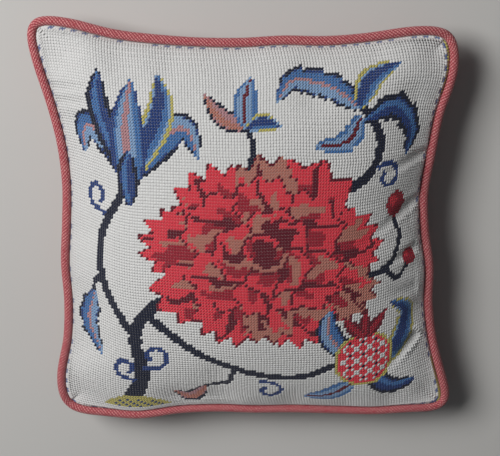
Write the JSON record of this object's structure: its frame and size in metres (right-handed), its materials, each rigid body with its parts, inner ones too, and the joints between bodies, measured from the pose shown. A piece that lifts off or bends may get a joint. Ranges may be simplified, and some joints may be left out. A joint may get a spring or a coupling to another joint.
{
  "type": "needlepoint cushion",
  "caption": "Square filled cushion with a floral needlepoint front, drawn-in sides, pulled-out corners and a round piped edge, lying on its back.",
  "frame": {"origin": "middle of the cushion's outline, on the surface that its back rests on", "axes": "+Z out of the needlepoint face, +Y up the design, +X to the design's right"},
  "size_m": [0.3802, 0.376, 0.1083],
  "materials": {
    "back_cloth": "matt coral twill",
    "stitched_wool": "ivory wool in tent stitch with a floral design in reds and blues",
    "piping_cloth": "coral twill cut on the bias, with fine pale flecks"
  },
  "bodies": {
    "root": {"filled_cushion": "back_cloth", "needlepoint_panel": "stitched_wool", "piping": "piping_cloth"}
  },
  "joints": []
}
